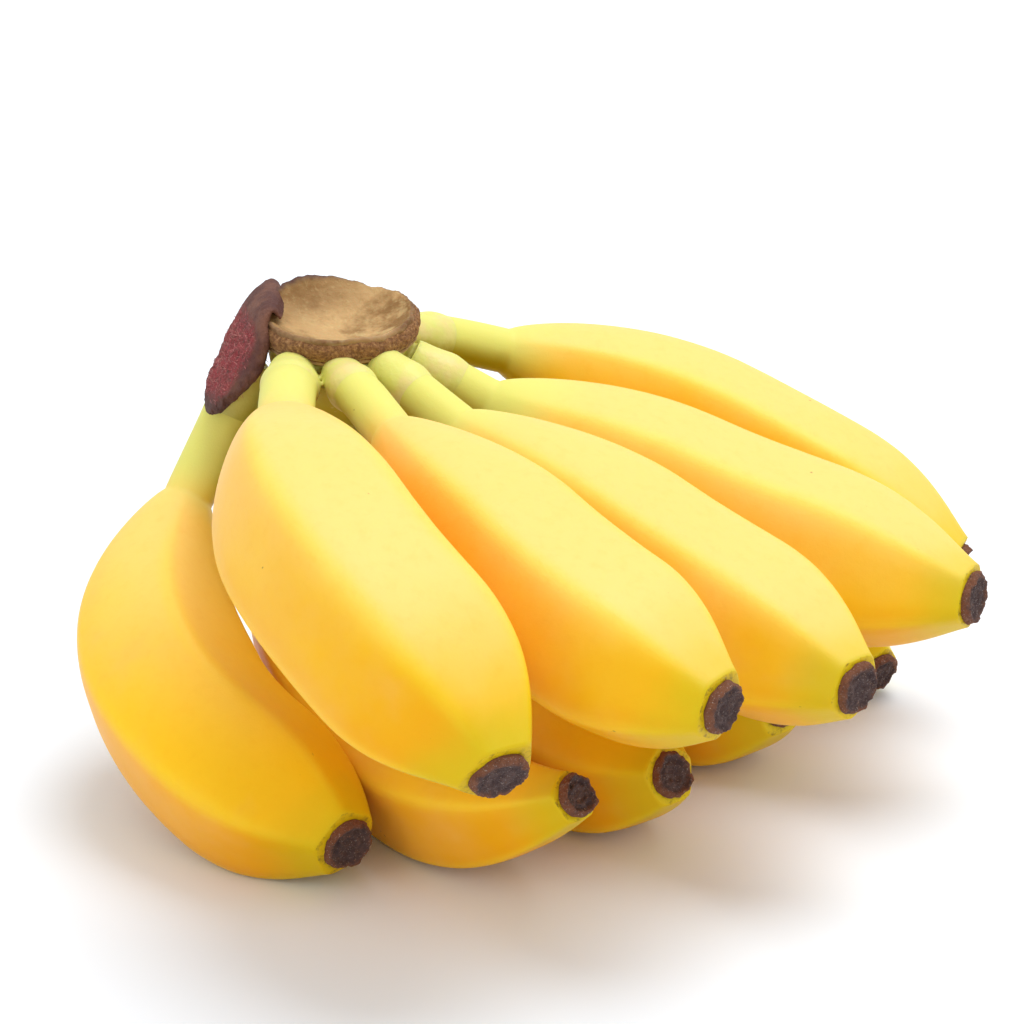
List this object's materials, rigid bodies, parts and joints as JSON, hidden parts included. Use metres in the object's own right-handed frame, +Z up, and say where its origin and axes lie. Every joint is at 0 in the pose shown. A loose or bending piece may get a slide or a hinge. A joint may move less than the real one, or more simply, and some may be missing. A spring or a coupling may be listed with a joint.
{
  "type": "bunch of bananas",
  "caption": "Hand of plump yellow bananas in two rows that fan out and curve down from one cut corky crown; fresh fruit that lies on a table, counter or display.",
  "frame": {"origin": "on the surface that the bunch lies on, under the middle of the bunch's box", "axes": "+Z up, out of the surface; +X along the longest extent, towards the tips of the right-hand bananas; +Y away from the front bananas' tips, towards the back"},
  "size_m": [0.1764, 0.1742, 0.0902],
  "materials": {
    "skin": "smooth satin",
    "crown": "rough matte"
  },
  "bodies": {
    "root": {"crown": "crown", "upper_finger_1": "skin", "upper_finger_2": "skin", "upper_finger_3": "skin", "upper_finger_4": "skin", "upper_finger_5": "skin", "upper_finger_6": "skin", "lower_finger_1": "skin", "lower_finger_2": "skin", "lower_finger_3": "skin", "lower_finger_4": "skin"}
  },
  "joints": []
}
